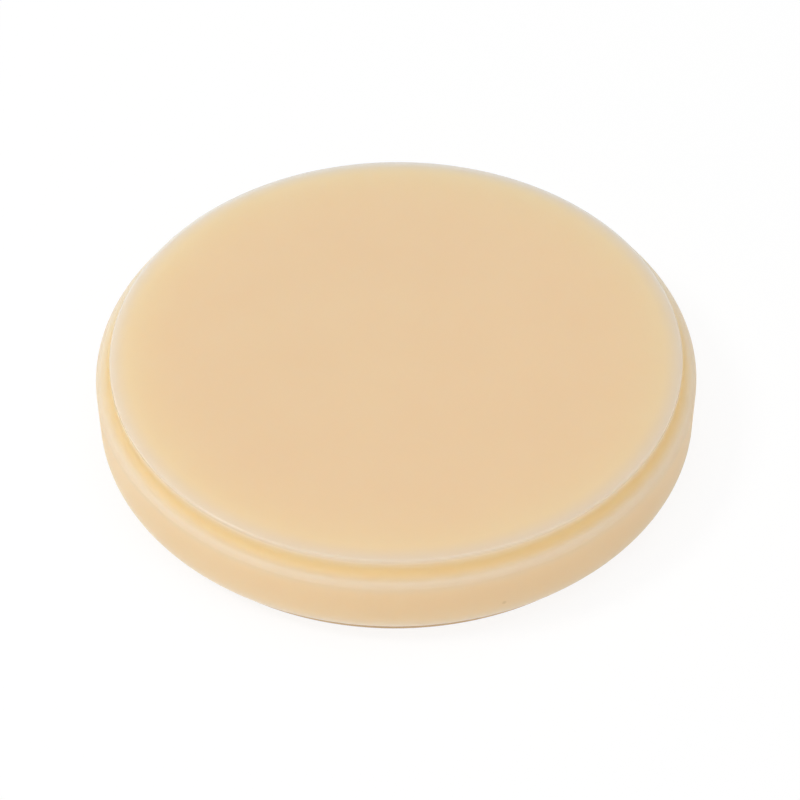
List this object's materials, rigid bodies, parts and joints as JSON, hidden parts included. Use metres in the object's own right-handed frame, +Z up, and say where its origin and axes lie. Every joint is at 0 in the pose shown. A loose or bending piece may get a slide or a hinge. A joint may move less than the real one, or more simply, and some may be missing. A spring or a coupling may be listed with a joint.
{
  "type": "dental milling disc",
  "caption": "Round acrylic milling blank with a clamping collar round its middle and a raised flat face on each side.",
  "frame": {"origin": "centre of the lower face, on which the disc rests", "axes": "+Z up along the disc's axis, from the lower face to the upper one; +X and +Y are any two directions across it"},
  "size_m": [0.0984, 0.0984, 0.016],
  "materials": {
    "acrylic": "tooth-coloured translucent acrylic, finely turned, satin"
  },
  "bodies": {
    "root": {"milling_disc": "acrylic"}
  },
  "joints": []
}
